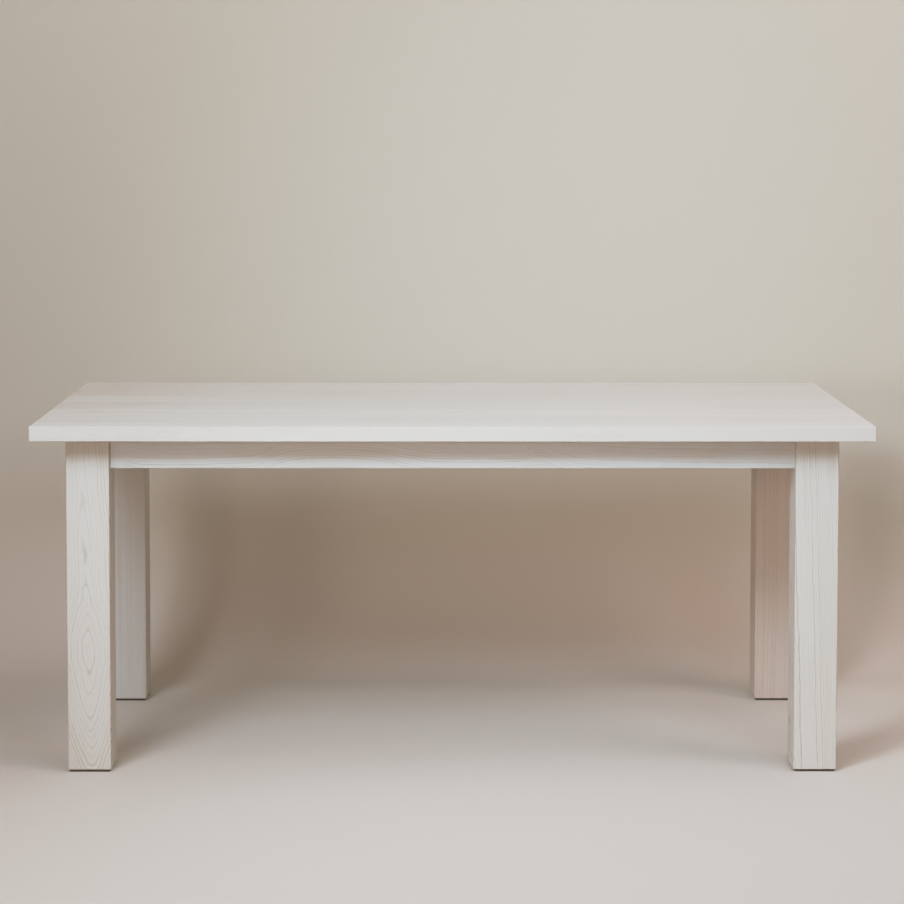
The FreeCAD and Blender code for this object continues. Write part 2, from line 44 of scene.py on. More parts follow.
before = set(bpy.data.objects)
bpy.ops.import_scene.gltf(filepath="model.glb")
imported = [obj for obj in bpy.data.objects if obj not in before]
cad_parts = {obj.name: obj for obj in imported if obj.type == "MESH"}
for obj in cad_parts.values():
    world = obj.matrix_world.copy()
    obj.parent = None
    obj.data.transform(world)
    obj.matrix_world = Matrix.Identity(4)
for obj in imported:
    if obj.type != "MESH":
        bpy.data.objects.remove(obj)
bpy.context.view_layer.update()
CORNERS = {
    "front_left": (-1, -1),
    "front_right": (1, -1),
    "rear_right": (1, 1),
    "rear_left": (-1, 1),
}

# %% [markdown]
# The hand tools of this lesson.
# A piece starts as a block at its own size and place, the way a maker saws a blank first. Its place
# is then put into its mesh, so that the object itself stays at the origin and a grain pattern on
# Object coordinates keeps still. Edges and faces are picked by where they are, because an operator
# works on whatever is selected, and the frame arrives with everything selected.

# %% Tools for picking up and sawing
def clear_bench():
    """Leave edit mode and select nothing."""
    if bpy.context.mode != "OBJECT":
        bpy.ops.object.mode_set(mode="OBJECT")
    bpy.ops.object.select_all(action="DESELECT")


def take(piece):
    """Select one piece and make it the active one."""
    clear_bench()
    piece.select_set(True)
    bpy.context.view_layer.objects.active = piece


def named(name):
    """Name the new primitive and put its place, turn and size into its mesh."""
    piece = bpy.context.object
    piece.name = piece.data.name = name
    bpy.ops.object.transform_apply(location=True, rotation=True, scale=True)
    return piece


def saw_block(name, low, high, turn=0.0):
    """A block between two corners, turned about its own upright axis."""
    clear_bench()
    low, high = Vector(low), Vector(high)
    bpy.ops.mesh.primitive_cube_add(
        size=1, location=(low + high) / 2, scale=high - low, rotation=(0, 0, turn)
    )
    return named(name)


def turn_rod(name, start, end, radius, sides=32):
    """A round rod from one point to another."""
    clear_bench()
    start, end = Vector(start), Vector(end)
    axis = end - start
    bpy.ops.mesh.primitive_cylinder_add(
        vertices=sides,
        radius=radius,
        depth=axis.length,
        location=(start + end) / 2,
        rotation=Vector((0, 0, 1)).rotation_difference(axis).to_euler(),
    )
    return named(name)


print("sawing tools ready")

# %% Tools for easing edges and carving
X, Y, Z = 0, 1, 2


def near(one, other):
    """Whether two lengths agree to a hundredth of a millimetre."""
    return abs(one - other) < 1e-5


def lies_on(*planes):
    """A test for edges that lie in every plane given, each as an axis and a level on it."""
    return lambda a, b: all(near(a[axis], at) and near(b[axis], at) for axis, at in planes)


def upright(a, b):
    """A test for edges whose ends differ in height."""
    return not near(a.z, b.z)


def open_mesh(piece, kind, test=lambda part: True):
    """Go into edit mode with those vertices, edges or faces selected that pass the test."""
    take(piece)
    bpy.ops.object.mode_set(mode="EDIT")
    bpy.ops.mesh.select_mode(type=kind)
    bpy.ops.mesh.select_all(action="DESELECT")
    shape = bmesh.from_edit_mesh(piece.data)
    for part in {"VERT": shape.verts, "EDGE": shape.edges, "FACE": shape.faces}[kind]:
        if test(part):
            part.select_set(True)
    bmesh.update_edit_mesh(piece.data)


def close_mesh():
    """Leave edit mode."""
    bpy.ops.object.mode_set(mode="OBJECT")


def pull_out(step):
    """Extrude what is selected."""
    bpy.ops.mesh.extrude_region_move(TRANSFORM_OT_translate={"value": step})


def open_edges(piece, test):
    """Go into edit mode with the edges selected whose two ends pass the test."""
    open_mesh(piece, "EDGE", lambda edge: test(edge.verts[0].co, edge.verts[1].co))


def ease(piece, radius, steps, test):
    """Round over the edges that pass the test."""
    open_edges(piece, test)
    bpy.ops.mesh.bevel(offset=radius, segments=steps, affect="EDGES")
    close_mesh()


def apply_modifier(piece, kind, **settings):
    """Add one modifier, set it and apply it."""
    take(piece)
    modifier = piece.modifiers.new(kind.lower(), kind)
    for setting, value in settings.items():
        setattr(modifier, setting, value)
    bpy.ops.object.modifier_apply(modifier=modifier.name)


def work_with(piece, other, operation):
    """Join, trim or carve one piece with another, and put the other away."""
    apply_modifier(piece, "BOOLEAN", operation=operation, solver="EXACT", object=other)
    bpy.data.objects.remove(other)


def carve(piece, *cutters):
    """Take away what the cutters cover."""
    for cutter in cutters:
        work_with(piece, cutter, "DIFFERENCE")


def smooth(piece, angle=40):
    """Shade the rounds softly and keep the flats flat."""
    take(piece)
    bpy.ops.object.shade_smooth_by_angle(angle=math.radians(angle))
    apply_modifier(piece, "WEIGHTED_NORMAL", keep_sharp=True, weight=100)


def fit(piece, nodes, material):
    """Put a finished piece in the place of its CAD nodes."""
    piece.data.materials.clear()
    piece.data.materials.append(material)
    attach(piece, "root")
    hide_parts(*nodes)
    print(piece.name, len(piece.data.polygons), "faces")
    return piece


print("easing and carving tools ready")

# %% [markdown]
# Ash figure.
# A tree grows in rings round its heart, and each ring starts with a band of wide pores. What shows
# on a board is how its faces cut through those rings. So the figure is not painted on: it is a
# solid pattern of rings round a heart line, which the faces cut as a saw does. Near the heart
# a face shows bullseyes and flames, and far from it straight lines.
# A node group holds the figure once, and each piece tells it where its own heart line lies.
# Grain runs along the group's Z axis and the heart line is that axis.

# %% Small helpers for node trees
def feed(tree, made, inputs):
    """Give a node's inputs numbers, or the outputs of other nodes."""
    for key, value in dict(inputs).items():
        if isinstance(value, bpy.types.NodeSocket):
            tree.links.new(value, made.inputs[key])
        else:
            made.inputs[key].default_value = value


def node(tree, kind, inputs=(), **settings):
    """Add a node, set its settings and feed its inputs."""
    made = tree.nodes.new(kind)
    for setting, value in settings.items():
        setattr(made, setting, value)
    feed(tree, made, inputs)
    return made


def sums(tree, operation, *values, clamp=False):
    """One Math node."""
    made = node(tree, "ShaderNodeMath", enumerate(values), operation=operation, use_clamp=clamp)
    return made.outputs[0]


def vectors(tree, operation, *values):
    """One Vector Math node."""
    keys = (0, "Scale") if operation == "SCALE" else (0, 1, 2)
    made = node(tree, "ShaderNodeVectorMath", zip(keys, values), operation=operation)
    return made.outputs["Value" if operation == "LENGTH" else "Vector"]


def grainy(tree, place, stretch, detail=2.0, rough=0.5, output=0):
    """Noise drawn out along the grain: stretch is how many spots fit in a metre each way."""
    drawn = vectors(tree, "MULTIPLY", place, stretch)
    made = node(
        tree,
        "ShaderNodeTexNoise",
        {"Vector": drawn, "Scale": 1.0, "Detail": detail, "Roughness": rough},
    )
    return made.outputs[output]


def ramp(tree, value, low, high):
    """0 below low, 1 above high and a soft step between."""
    made = node(
        tree,
        "ShaderNodeMapRange",
        {"Value": value, "From Min": low, "From Max": high},
        interpolation_type="SMOOTHSTEP",
    )
    return made.outputs[0]


def blend(tree, share, one, other):
    """Mix two colours."""
    one, other = ((*c, 1.0) if isinstance(c, tuple) else c for c in (one, other))
    made = node(tree, "ShaderNodeMix", {0: share, 6: one, 7: other}, data_type="RGBA")
    return made.outputs[2]


def group_with(name, inputs, outputs):
    """An empty node group with named sockets."""
    tree = bpy.data.node_groups.new(name, "ShaderNodeTree")
    for socket, kind in inputs:
        tree.interface.new_socket(socket, in_out="INPUT", socket_type=kind)
    for socket, kind in outputs:
        tree.interface.new_socket(socket, in_out="OUTPUT", socket_type=kind)
    return tree, tree.nodes.new("NodeGroupInput").outputs, tree.nodes.new("NodeGroupOutput").inputs


def new_material(name):
    """A new material, its tree, its shader and the place of each point on the piece."""
    material = bpy.data.materials.new(name)
    material.use_nodes = True
    tree = material.node_tree
    where = node(tree, "ShaderNodeTexCoord").outputs["Object"]
    return material, tree, tree.nodes["Principled BSDF"], where


def draw_curve(line, points):
    """Lead a new curve, which has two points, through all the points given."""
    line.points[0].location, line.points[1].location = points[0], points[-1]
    for point in points[1:-1]:
        line.points.new(*point)


NUMBER, PLACE, COLOUR = "NodeSocketFloat", "NodeSocketVector", "NodeSocketColor"
print("node helpers ready")

# %% The rings, pores and fibres of ash
FIGURE_PARTS = ("Early", "Pore", "Fibre", "Cloud", "Streak")
FIGURE_NUMBERS = ("Run-out", "Ring", "Seed", "Wild", "Curl")
NOISE_MIDDLE = (0.5, 0.5, 0.5)
figure, into, out = group_with(
    "ash_figure",
    [("Grain", PLACE)] + [(number, NUMBER) for number in FIGURE_NUMBERS],
    [(part, NUMBER) for part in FIGURE_PARTS],
)
shifted = vectors(figure, "MULTIPLY_ADD", (7.13, 3.71, 1.37), into["Seed"], into["Grain"])
wander = vectors(figure, "SUBTRACT", grainy(figure, shifted, (9, 9, 1.1), output=1), NOISE_MIDDLE)
waver = vectors(figure, "SUBTRACT", grainy(figure, shifted, (40, 40, 18), output=1), NOISE_MIDDLE)
wander = vectors(figure, "SCALE", wander, into["Wild"])
waver = vectors(figure, "SCALE", waver, into["Curl"])
bent = vectors(figure, "MULTIPLY_ADD", wander, (0.012, 0.012, 0.0), into["Grain"])
bent = vectors(figure, "MULTIPLY_ADD", waver, (0.002, 0.002, 0.0), bent)
from_heart = vectors(figure, "LENGTH", vectors(figure, "MULTIPLY", bent, (1, 1, 0)))
rings = sums(figure, "DIVIDE", sums(figure, "ADD", from_heart, into["Run-out"]), into["Ring"])
pace = node(
    figure,
    "ShaderNodeTexNoise",
    {"W": sums(figure, "MULTIPLY_ADD", rings, 0.6, into["Seed"]), "Scale": 1.0, "Detail": 1.0},
    noise_dimensions="1D",
).outputs[0]
rings = sums(figure, "MULTIPLY_ADD", pace, sums(figure, "MULTIPLY", into["Wild"], 1.1), rings)
year = sums(figure, "ADD", sums(figure, "FLOOR", rings), into["Seed"])
luck = node(figure, "ShaderNodeTexWhiteNoise", {"W": year}, noise_dimensions="1D")
vigour = luck.outputs["Value"]
season = sums(figure, "FRACT", rings)
opening = ramp(figure, season, 0.0, 0.07)
closing = ramp(figure, season, 0.36, 0.07)
strong = sums(figure, "MULTIPLY_ADD", sums(figure, "MULTIPLY", vigour, vigour), 0.8, 0.2)
early = sums(figure, "MULTIPLY", sums(figure, "MULTIPLY", opening, closing), strong)
dashes = ramp(figure, grainy(figure, shifted, (1300, 1300, 45), detail=1.0), 0.54, 0.7)
pore = sums(figure, "MULTIPLY", dashes, sums(figure, "MULTIPLY_ADD", early, 0.8, 0.2))
fibre = grainy(figure, shifted, (330, 330, 7), detail=3.0, rough=0.6)
cloud = grainy(figure, shifted, (7, 7, 1.8), detail=2.0)
streak = ramp(figure, grainy(figure, shifted, (60, 60, 2.4), detail=1.0), 0.62, 0.78)
for part, made in zip(FIGURE_PARTS, (early, pore, fibre, cloud, streak)):
    figure.links.new(made, out[part])
print("ash figure:", len(figure.nodes), "nodes")

# %% [markdown]
# Two finishes for the same wood.
# What is seen of the table is whitewashed: thinned white paint is rubbed over brushed ash and
# wiped, so the hard late wood goes pale and the open early wood stays a little darker and
# warmer. Inside the frame the blocks and the rail are left bare. Both finishes read the same
# figure, and only the colours, the gloss and the strength of the pores differ.

# %% A finish over the figure
def finish_group(name, pale, dull, line, pit, tan, strength, gloss):
    """Colour, roughness and height from the parts of the figure."""
    extra = [("Tone", COLOUR), ("Lines", NUMBER), ("Wear", NUMBER)]
    tree, into, out = group_with(
        name,
        [(part, NUMBER) for part in FIGURE_PARTS] + extra,
        [("Colour", COLOUR), ("Roughness", NUMBER), ("Height", NUMBER)],
    )
    colour = blend(tree, ramp(tree, into["Cloud"], 0.3, 0.7), pale, dull)
    uneven = sums(tree, "MULTIPLY_ADD", into["Cloud"], 0.8, 0.6)
    held = sums(tree, "MULTIPLY", uneven, into["Lines"])
    colour = blend(tree, sums(tree, "MULTIPLY", into["Early"], held, clamp=True), colour, line)
    colour = blend(tree, sums(tree, "MULTIPLY", into["Pore"], strength, clamp=True), colour, pit)
    colour = blend(tree, sums(tree, "MULTIPLY", into["Streak"], 0.22), colour, tan)
    colour = blend(tree, sums(tree, "MULTIPLY", into["Wear"], 0.5), colour, tan)
    brush = sums(tree, "MULTIPLY_ADD", into["Fibre"], 0.10, 0.95)
    toned = vectors(tree, "SCALE", vectors(tree, "MULTIPLY", colour, into["Tone"]), brush)
    tree.links.new(toned, out["Colour"])
    polished = sums(tree, "MULTIPLY_ADD", into["Wear"], -0.1, gloss)
    rough = sums(tree, "MULTIPLY_ADD", into["Early"], 0.14, polished)
    tree.links.new(sums(tree, "MULTIPLY_ADD", into["Fibre"], 0.1, rough), out["Roughness"])
    combed = sums(tree, "MULTIPLY", into["Fibre"], 0.35)
    high = sums(tree, "MULTIPLY_ADD", into["Early"], -0.5, combed)
    tree.links.new(sums(tree, "MULTIPLY_ADD", into["Pore"], -0.8, high), out["Height"])
    return tree


whitewash = finish_group(
    "whitewash", pale=(0.64, 0.611, 0.578), dull=(0.61, 0.574, 0.536), line=(0.485, 0.438, 0.390),
    pit=(0.437, 0.367, 0.30), tan=(0.494, 0.40, 0.315), strength=0.5, gloss=0.46,
)
bare = finish_group(
    "bare_wood", pale=(0.56, 0.43, 0.28), dull=(0.47, 0.35, 0.22), line=(0.31, 0.21, 0.12),
    pit=(0.22, 0.14, 0.08), tan=(0.40, 0.27, 0.15), strength=0.75, gloss=0.6,
)
print("finishes:", whitewash.name, bare.name)

# %% [markdown]
# Wear along the edges.
# Hands and feet rub the wash thin where two faces meet. On any point of a block's surface the
# distance to one pair of faces is zero, and the next smallest distance is how far the nearest
# edge is. So the wear needs no painting: it is the middle one of three distances, broken up by
# noise.

# %% Find the edges and rub them
edge_wear, into, out = group_with(
    "edge_wear", [("Place", PLACE), ("Middle", PLACE), ("Half", PLACE)], [("Wear", NUMBER)]
)
away = vectors(edge_wear, "ABSOLUTE", vectors(edge_wear, "SUBTRACT", into["Place"], into["Middle"]))
within = vectors(edge_wear, "SUBTRACT", into["Half"], away)
depth = node(edge_wear, "ShaderNodeSeparateXYZ", {0: within}).outputs
smaller = sums(edge_wear, "MINIMUM", depth[0], depth[1])
larger = sums(edge_wear, "MAXIMUM", depth[0], depth[1])
from_edge = sums(edge_wear, "MAXIMUM", smaller, sums(edge_wear, "MINIMUM", larger, depth[2]))
patchy = grainy(edge_wear, into["Place"], (90, 90, 90), detail=4.0, rough=0.65)
rubbed = ramp(edge_wear, from_edge, 0.0045, 0.0005)
worn = sums(edge_wear, "MULTIPLY", rubbed, ramp(edge_wear, patchy, 0.42, 0.72))
edge_wear.links.new(worn, out["Wear"])
print("edge wear:", len(edge_wear.nodes), "nodes")

# %% A wood for one piece
ALONG = {"x": Euler((0, math.pi / 2, 0)), "y": Euler((-math.pi / 2, 0, 0)), "z": Euler((0, 0, 0))}


def ash(
    name, grain, heart, ring, seed, box, tone=(1, 1, 1), lean=(0, 0), flow=None,
    lines=1.0, wild=1.0, curl=1.0, finish=whitewash,
):
    """Ash with its grain along one axis and its heart line through one point.

    box is the low and high corner of the piece, whose edges wear. lean tips the heart line. flow
    moves the rings along the grain: its start, its end, its reach and the points of a curve.
    lines is how strongly the early wood shows, wild is how far the rings wander and curl is how
    much they waver.
    """
    material, tree, shader, where = new_material(name)
    turn = ALONG[grain].to_matrix() @ Euler((lean[0], lean[1], 0)).to_matrix()
    place = node(
        tree,
        "ShaderNodeMapping",
        {"Vector": where, "Location": heart, "Rotation": turn.to_euler()},
        vector_type="TEXTURE",
    ).outputs[0]
    run_out = 0.0
    if flow:
        start, end, reach, points = flow
        along = node(tree, "ShaderNodeSeparateXYZ", {0: place}).outputs[2]
        share = node(
            tree, "ShaderNodeMapRange", {"Value": along, "From Min": start, "From Max": end}
        )
        curve = node(tree, "ShaderNodeFloatCurve", {"Value": share.outputs[0]})
        draw_curve(curve.mapping.curves[0], points)
        curve.mapping.update()
        run_out = sums(tree, "MULTIPLY", curve.outputs[0], reach)
    numbers = zip(FIGURE_NUMBERS, (run_out, ring, seed, wild, curl))
    wood = node(tree, "ShaderNodeGroup", numbers, node_tree=figure)
    feed(tree, wood, {"Grain": place})
    low, high = Vector(box[0]), Vector(box[1])
    block = {"Place": where, "Middle": (low + high) / 2, "Half": (high - low) / 2}
    rub = node(tree, "ShaderNodeGroup", block, node_tree=edge_wear)
    parts = {part: wood.outputs[part] for part in FIGURE_PARTS}
    skin = node(tree, "ShaderNodeGroup", parts, node_tree=finish)
    feed(tree, skin, {"Tone": (*tone, 1.0), "Lines": lines, "Wear": rub.outputs["Wear"]})
    bumps = {"Height": skin.outputs["Height"], "Strength": 0.55, "Distance": 0.0007}
    relief = node(tree, "ShaderNodeBump", bumps)
    colour, rough = skin.outputs["Colour"], skin.outputs["Roughness"]
    feed(tree, shader, {"Base Color": colour, "Roughness": rough, "IOR": 1.46})
    feed(tree, shader, {"Normal": relief.outputs[0]})
    return material


print("woods can be made")

# %% [markdown]
# The plank top.
# Seven boards of unequal width are glued edge to edge. On the real top the joints show as a change
# of tone more than as a line, because the glued edges are planed true and only their sharp
# corners are broken. A single slab with stripes would look alike from afar, but each board has
# its own tree, so each is sawn, eased and given its own heart line.

# %% Saw and ease the seven boards
TOP_LOW, TOP_HIGH, HALF_LENGTH, HALF_WIDTH = 0.728, 0.760, 0.9, 0.450
BOARD_EDGES = (-HALF_WIDTH, -0.3735, -0.261, -0.126, 0.018, 0.1485, 0.288, HALF_WIDTH)
EDGE_ROUND, SEAM_BREAK, TOP_LINES = 0.0018, 0.00035, 0.4
# Heart line beside and below each board, ring width, lean and tone
BOARD_HEARTS = (
    (0.190, -0.016, 0.0060, 0.002, (1.00, 1.00, 1.00)),
    (-0.140, -0.050, 0.0048, -0.004, (0.97, 0.968, 0.965)),
    (0.020, -0.160, 0.0052, 0.005, (1.01, 1.01, 1.005)),
    (0.160, -0.040, 0.0044, 0.003, (0.965, 0.965, 0.968)),
    (-0.120, -0.090, 0.0050, -0.005, (0.99, 0.987, 0.985)),
    (0.040, -0.130, 0.0048, 0.004, (0.975, 0.975, 0.972)),
    (-0.170, -0.060, 0.0054, -0.003, (0.99, 0.988, 0.985)),
)


def saw_board(number, low_y, high_y):
    """One board: its free edges rounded, and its glued edges only broken."""
    board = saw_block(
        f"ash_board_{number}", (-HALF_LENGTH, low_y, TOP_LOW), (HALF_LENGTH, high_y, TOP_HIGH)
    )
    outer = [y for y in (low_y, high_y) if near(abs(y), HALF_WIDTH)]

    def free(a, b):
        at_end = near(abs(a.x), HALF_LENGTH) and near(a.x, b.x)
        at_side = any(lies_on((Y, y))(a, b) for y in outer)
        flat = near(a.z, b.z)
        return (at_end and flat) or (at_side and flat) or (at_end and at_side)

    ease(board, EDGE_ROUND, 5, free)
    for seam in {low_y, high_y} - set(outer):
        ease(board, SEAM_BREAK, 2, lies_on((Y, seam)))
    smooth(board)
    return board


for number, (low_y, high_y) in enumerate(zip(BOARD_EDGES, BOARD_EDGES[1:]), 1):
    beside, below, ring, lean, tone = BOARD_HEARTS[number - 1]
    heart = (0.0, (low_y + high_y) / 2 + beside, TOP_HIGH + below)
    box = ((-HALF_LENGTH, -HALF_WIDTH, TOP_LOW), (HALF_LENGTH, HALF_WIDTH, TOP_HIGH))
    wood = ash(
        f"ash_top_{number}", "x", heart, ring, seed=1.0 + 0.83 * number, box=box,
        tone=tone, lean=(lean, lean * 0.7), lines=TOP_LINES,
    )
    fit(saw_board(number, low_y, high_y), [f"top_board_{number}"], wood)

# %% [markdown]
# The legs.
# Each leg is one square post, 93 mm wide, with its corners just eased. At the top its inner corner
# is cut away to a flat, where two bolts pull it against the frame. The post is sawn as a block,
# the long corners are rounded while they are still whole, and the flat and the bolt holes are
# then carved with cutters, as a maker would cut them last.
# The front left post was cut close to the heart of the tree, so its face shows a bullseye with
# flames above and below it. The flow curve moves the rings along the post to draw that.

# %% Shape the four posts
LEG_OUT_X, LEG_OUT_Y, LEG_SIDE, PAD_TOP = 0.832, 0.382, 0.093, 0.005
# The middle of the flat, inward from the outer corner, and half the size of its cutter
FLAT_IN, FLAT_LEVEL, FLAT_CUTTER = 0.078, 0.700, (0.05, 0.08, 0.040)
BOLT_RADIUS, BOLT_BITE, BOLT_HEIGHTS = 0.004, 0.045, (0.6795, 0.7065)
DIAGONAL = math.sqrt(0.5)


def corner_point(signs, u, v, z):
    """A point measured inward from the outer corner of a leg."""
    return Vector((signs[0] * (LEG_OUT_X - u), signs[1] * (LEG_OUT_Y - v), z))


def shape_post(corner, signs):
    """One post, with the flat and two bolt holes carved into its inner corner."""
    outer = corner_point(signs, 0, 0, PAD_TOP)
    inner = corner_point(signs, LEG_SIDE, LEG_SIDE, TOP_LOW)
    low = [min(pair) for pair in zip(outer, inner)]
    high = [max(pair) for pair in zip(outer, inner)]
    post = saw_block(f"ash_leg_{corner}", low, high)
    ease(post, 0.002, 4, upright)
    ease(post, 0.0012, 3, lies_on((Z, PAD_TOP)))
    cut_in = FLAT_IN + FLAT_CUTTER[0] * DIAGONAL
    middle, reach = corner_point(signs, cut_in, cut_in, FLAT_LEVEL), Vector(FLAT_CUTTER)
    turn = math.atan2(signs[1], signs[0])
    flat = saw_block("flat_cutter", middle - reach, middle + reach, turn)
    tip_in, past_corner = FLAT_IN - BOLT_BITE * DIAGONAL, 0.1
    drills = [
        turn_rod(
            "bolt_drill",
            corner_point(signs, tip_in, tip_in, z),
            corner_point(signs, past_corner, past_corner, z),
            BOLT_RADIUS,
        )
        for z in BOLT_HEIGHTS
    ]
    carve(post, flat, *drills)
    smooth(post)
    return post


# The settings of ash() for each post
POST_HEARTS = {
    "front_left": dict(
        heart=(-0.787, -0.3715, 0.264), ring=0.007, seed=3.1, lean=(0.0, -0.027),
        tone=(0.977, 0.958, 0.943), lines=0.95, wild=0.4, curl=4.5,
        flow=(
            -0.264, 0.464, 0.070,
            ((0.0, 0.987), (0.13, 0.536), (0.236, 0.236), (0.295, 0.136), (0.363, 0.044))
            + ((0.431, 0.136), (0.472, 0.236), (0.56, 0.436), (0.604, 0.451), (0.725, 0.459))
            + ((0.791, 0.536), (0.893, 0.586), (1.0, 0.629)),
        ),
    ),
    "front_right": dict(
        heart=(0.6925, -0.32, 0.364), ring=0.0049, seed=5.7, lean=(0.0, -0.035),
        tone=(1.02, 1.01, 1.0), lines=1.5, wild=0.8, curl=3.0,
    ),
    "rear_right": dict(
        heart=(0.90, 0.25, 0.0), ring=0.0050, seed=8.2, lean=(0.004, 0.006),
        # Its tone is darker and warmer than the other posts': partly the post's own tone, partly
        # painted shade for the shade it stands in at the back of the table.
        tone=(0.94, 0.86, 0.815),
    ),
    "rear_left": dict(
        heart=(-0.92, 0.24, 0.0), ring=0.0050, seed=9.9, lean=(0.005, -0.004), lines=0.4
    ),
}
for corner, signs in CORNERS.items():
    wood = ash(f"ash_post_{corner}", "z", box=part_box(f"leg_{corner}"), **POST_HEARTS[corner])
    fit(shape_post(corner, signs), [f"leg_{corner}"], wood)

# %% [markdown]
# The aprons.
# Four rails stand on edge between the legs, set back a little behind the leg faces. Their lower
# edges are eased, and that soft round catches the light as a bright line under the front rail.
# A saw groove runs along the inside for the clips that hold the top down, and the two long
# rails have a mortise in the middle for the cross rail.

# %% Shape the four rails
APRON_LOW, APRON_FACE_Y, APRON_FACE_X, APRON_THICK = 0.660, 0.372, 0.822, 0.025
LONG_END, SHORT_END = LEG_OUT_X - LEG_SIDE, LEG_OUT_Y - LEG_SIDE
GROOVE_DEPTH, GROOVE_LEVELS = 0.009, (0.714, 0.718)
MORTISE_DEPTH, MORTISE_HALF, MORTISE_LEVELS = 0.0122, 0.0051, (0.6889, 0.7191)
OVERSHOOT = 0.01


def shape_rail(name, long_way, side):
    """A rail along x or y on one side of the frame, grooved on its inner face."""
    face = side * (APRON_FACE_Y if long_way == "x" else APRON_FACE_X)
    back = face - side * APRON_THICK
    half = LONG_END if long_way == "x" else SHORT_END

    def span(across_a, across_b, run, z_low, z_high):
        """Two corners of a block that runs along the rail."""
        across = sorted((across_a, across_b))
        if long_way == "x":
            return (-run, across[0], z_low), (run, across[1], z_high)
        return (across[0], -run, z_low), (across[1], run, z_high)

    def cutter(tool, depth, run, levels):
        """A cutter that goes this deep into the inner face."""
        return saw_block(tool, *span(back + side * depth, back - side * OVERSHOOT, run, *levels))

    rail = saw_block(name, *span(face, back, half, APRON_LOW, TOP_LOW))
    along, across = (X, Y) if long_way == "x" else (Y, X)
    lower, outside = lies_on((Z, APRON_LOW)), lies_on((across, face))
    ease(rail, 0.002, 4, lambda a, b: lower(a, b) and not near(a[along], b[along]))
    ease(rail, 0.0012, 2, lambda a, b: outside(a, b) and near(a[along], b[along]))
    carve(rail, cutter("groove_saw", GROOVE_DEPTH, half + OVERSHOOT, GROOVE_LEVELS))
    if long_way == "x":
        carve(rail, cutter("mortise_chisel", MORTISE_DEPTH, MORTISE_HALF, MORTISE_LEVELS))
    smooth(rail)
    return rail


# The settings of ash() for each rail
RAIL_HEARTS = {
    "front": dict(
        heart=(0.0, -0.357, 0.632), ring=0.0062, seed=2.4,
        # Its cooler tone is partly the rail's own and partly painted light: it stands in for cool
        # light in the shade under the overhang.
        tone=(0.985, 1.02, 1.055), lines=1.1, wild=0.7, curl=1.5,
        flow=(
            -0.739, 0.739, 0.062,
            ((0.0, 0.0), (0.025, 0.74), (0.06, 0.85), (0.2, 0.8), (0.245, 0.42), (0.32, 0.24))
            + ((0.44, 0.56), (0.49, 0.68), (0.6, 0.64), (0.625, 0.45), (0.65, 0.62))
            + ((0.73, 0.91), (1.0, 1.0)),
        ),
    ),
    "right": dict(heart=(0.76, 0.0, 0.70), ring=0.0050, seed=6.3, lean=(0.008, 0.004)),
    "rear": dict(heart=(0.0, 0.31, 0.71), ring=0.0052, seed=4.6, lean=(0.004, 0.007)),
    "left": dict(heart=(-0.77, 0.0, 0.69), ring=0.0050, seed=7.7, lean=(-0.007, 0.005)),
}
RAIL_SIDES = {"front": ("x", -1), "right": ("y", 1), "rear": ("x", 1), "left": ("y", -1)}
for side_name, (long_way, side) in RAIL_SIDES.items():
    rail = shape_rail(f"ash_apron_{side_name}", long_way, side)
    node_name = f"apron_{side_name}"
    wood = ash(f"ash_rail_{side_name}", long_way, box=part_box(node_name), **RAIL_HEARTS[side_name])
    fit(rail, [node_name], wood)

# %% [markdown]
# Bare wood inside the frame.
# The corner blocks and the cross rail are right as the frame has them: square sawn, with their
# holes and grooves. They keep their CAD shape and only get a finish, bare ash, because paint is
# not wasted where nobody looks. A block stands across its corner, and so does its grain.

# %% Finish the blocks and the cross rail
cross_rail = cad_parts["cross_rail"]
wood = ash(
    "bare_ash_rail", "y", heart=(0.06, 0.0, 0.66), ring=0.0046, seed=11.3,
    box=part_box("cross_rail"), lean=(0.004, 0.006), finish=bare,
)
cross_rail.data.materials.clear()
cross_rail.data.materials.append(wood)
for number, (corner, signs) in enumerate(CORNERS.items(), 1):
    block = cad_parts[f"corner_block_{corner}"]
    wood = ash(
        f"bare_ash_block_{number}", "y", heart=corner_point(signs, 0.088, 0.088, 0.64),
        ring=0.0044, seed=11.0 + number, box=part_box(block.name), finish=bare,
    )
    across = Euler((0, 0, math.pi / 4 * signs[0] * signs[1])).to_matrix()
    turned = (across @ ALONG["y"].to_matrix()).to_euler()
    wood.node_tree.nodes["Mapping"].inputs["Rotation"].default_value = turned
    block.data.materials.clear()
    block.data.materials.append(wood)
print("bare wood on", 1 + len(CORNERS), "nodes")

# %% [markdown]
# Felt under the feet.
# A dark felt pad is glued under each leg, a little smaller than the leg. Felt is pressed fibre, so
# its rim is soft and bulges where the weight of the table squeezes it. It starts as a block, its
# corners are rounded, the rim is cut into layers that are scaled outward in the middle, and the
# colour and the fuzz come from fine noise.

# %% Press the felt pads
felt, tree, shader, where = new_material("brown_felt")
tufts = grainy(tree, where, (260, 260, 260), detail=3.0, rough=0.65)
hairs = grainy(tree, where, (2400, 1500, 1900), detail=2.0, rough=0.7)
colour = blend(tree, ramp(tree, tufts, 0.3, 0.7), (0.085, 0.068, 0.055), (0.052, 0.040, 0.033))
colour = blend(tree, ramp(tree, hairs, 0.55, 0.75), colour, (0.17, 0.145, 0.12))
pile = sums(tree, "ADD", sums(tree, "MULTIPLY", tufts, 0.6), hairs)
fuzz = node(tree, "ShaderNodeBump", {"Height": pile, "Strength": 0.8, "Distance": 0.0009})
feed(tree, shader, {"Base Color": colour, "Roughness": 0.95, "Normal": fuzz.outputs[0]})
feed(tree, shader, {"Sheen Weight": 0.25, "Sheen Roughness": 0.6})

PAD_HALF, RIM, PAD_ROUND = 0.044, 0.0006, 0.005
LAYERS = (0.12, 0.3, 0.5, 0.7, 0.88)


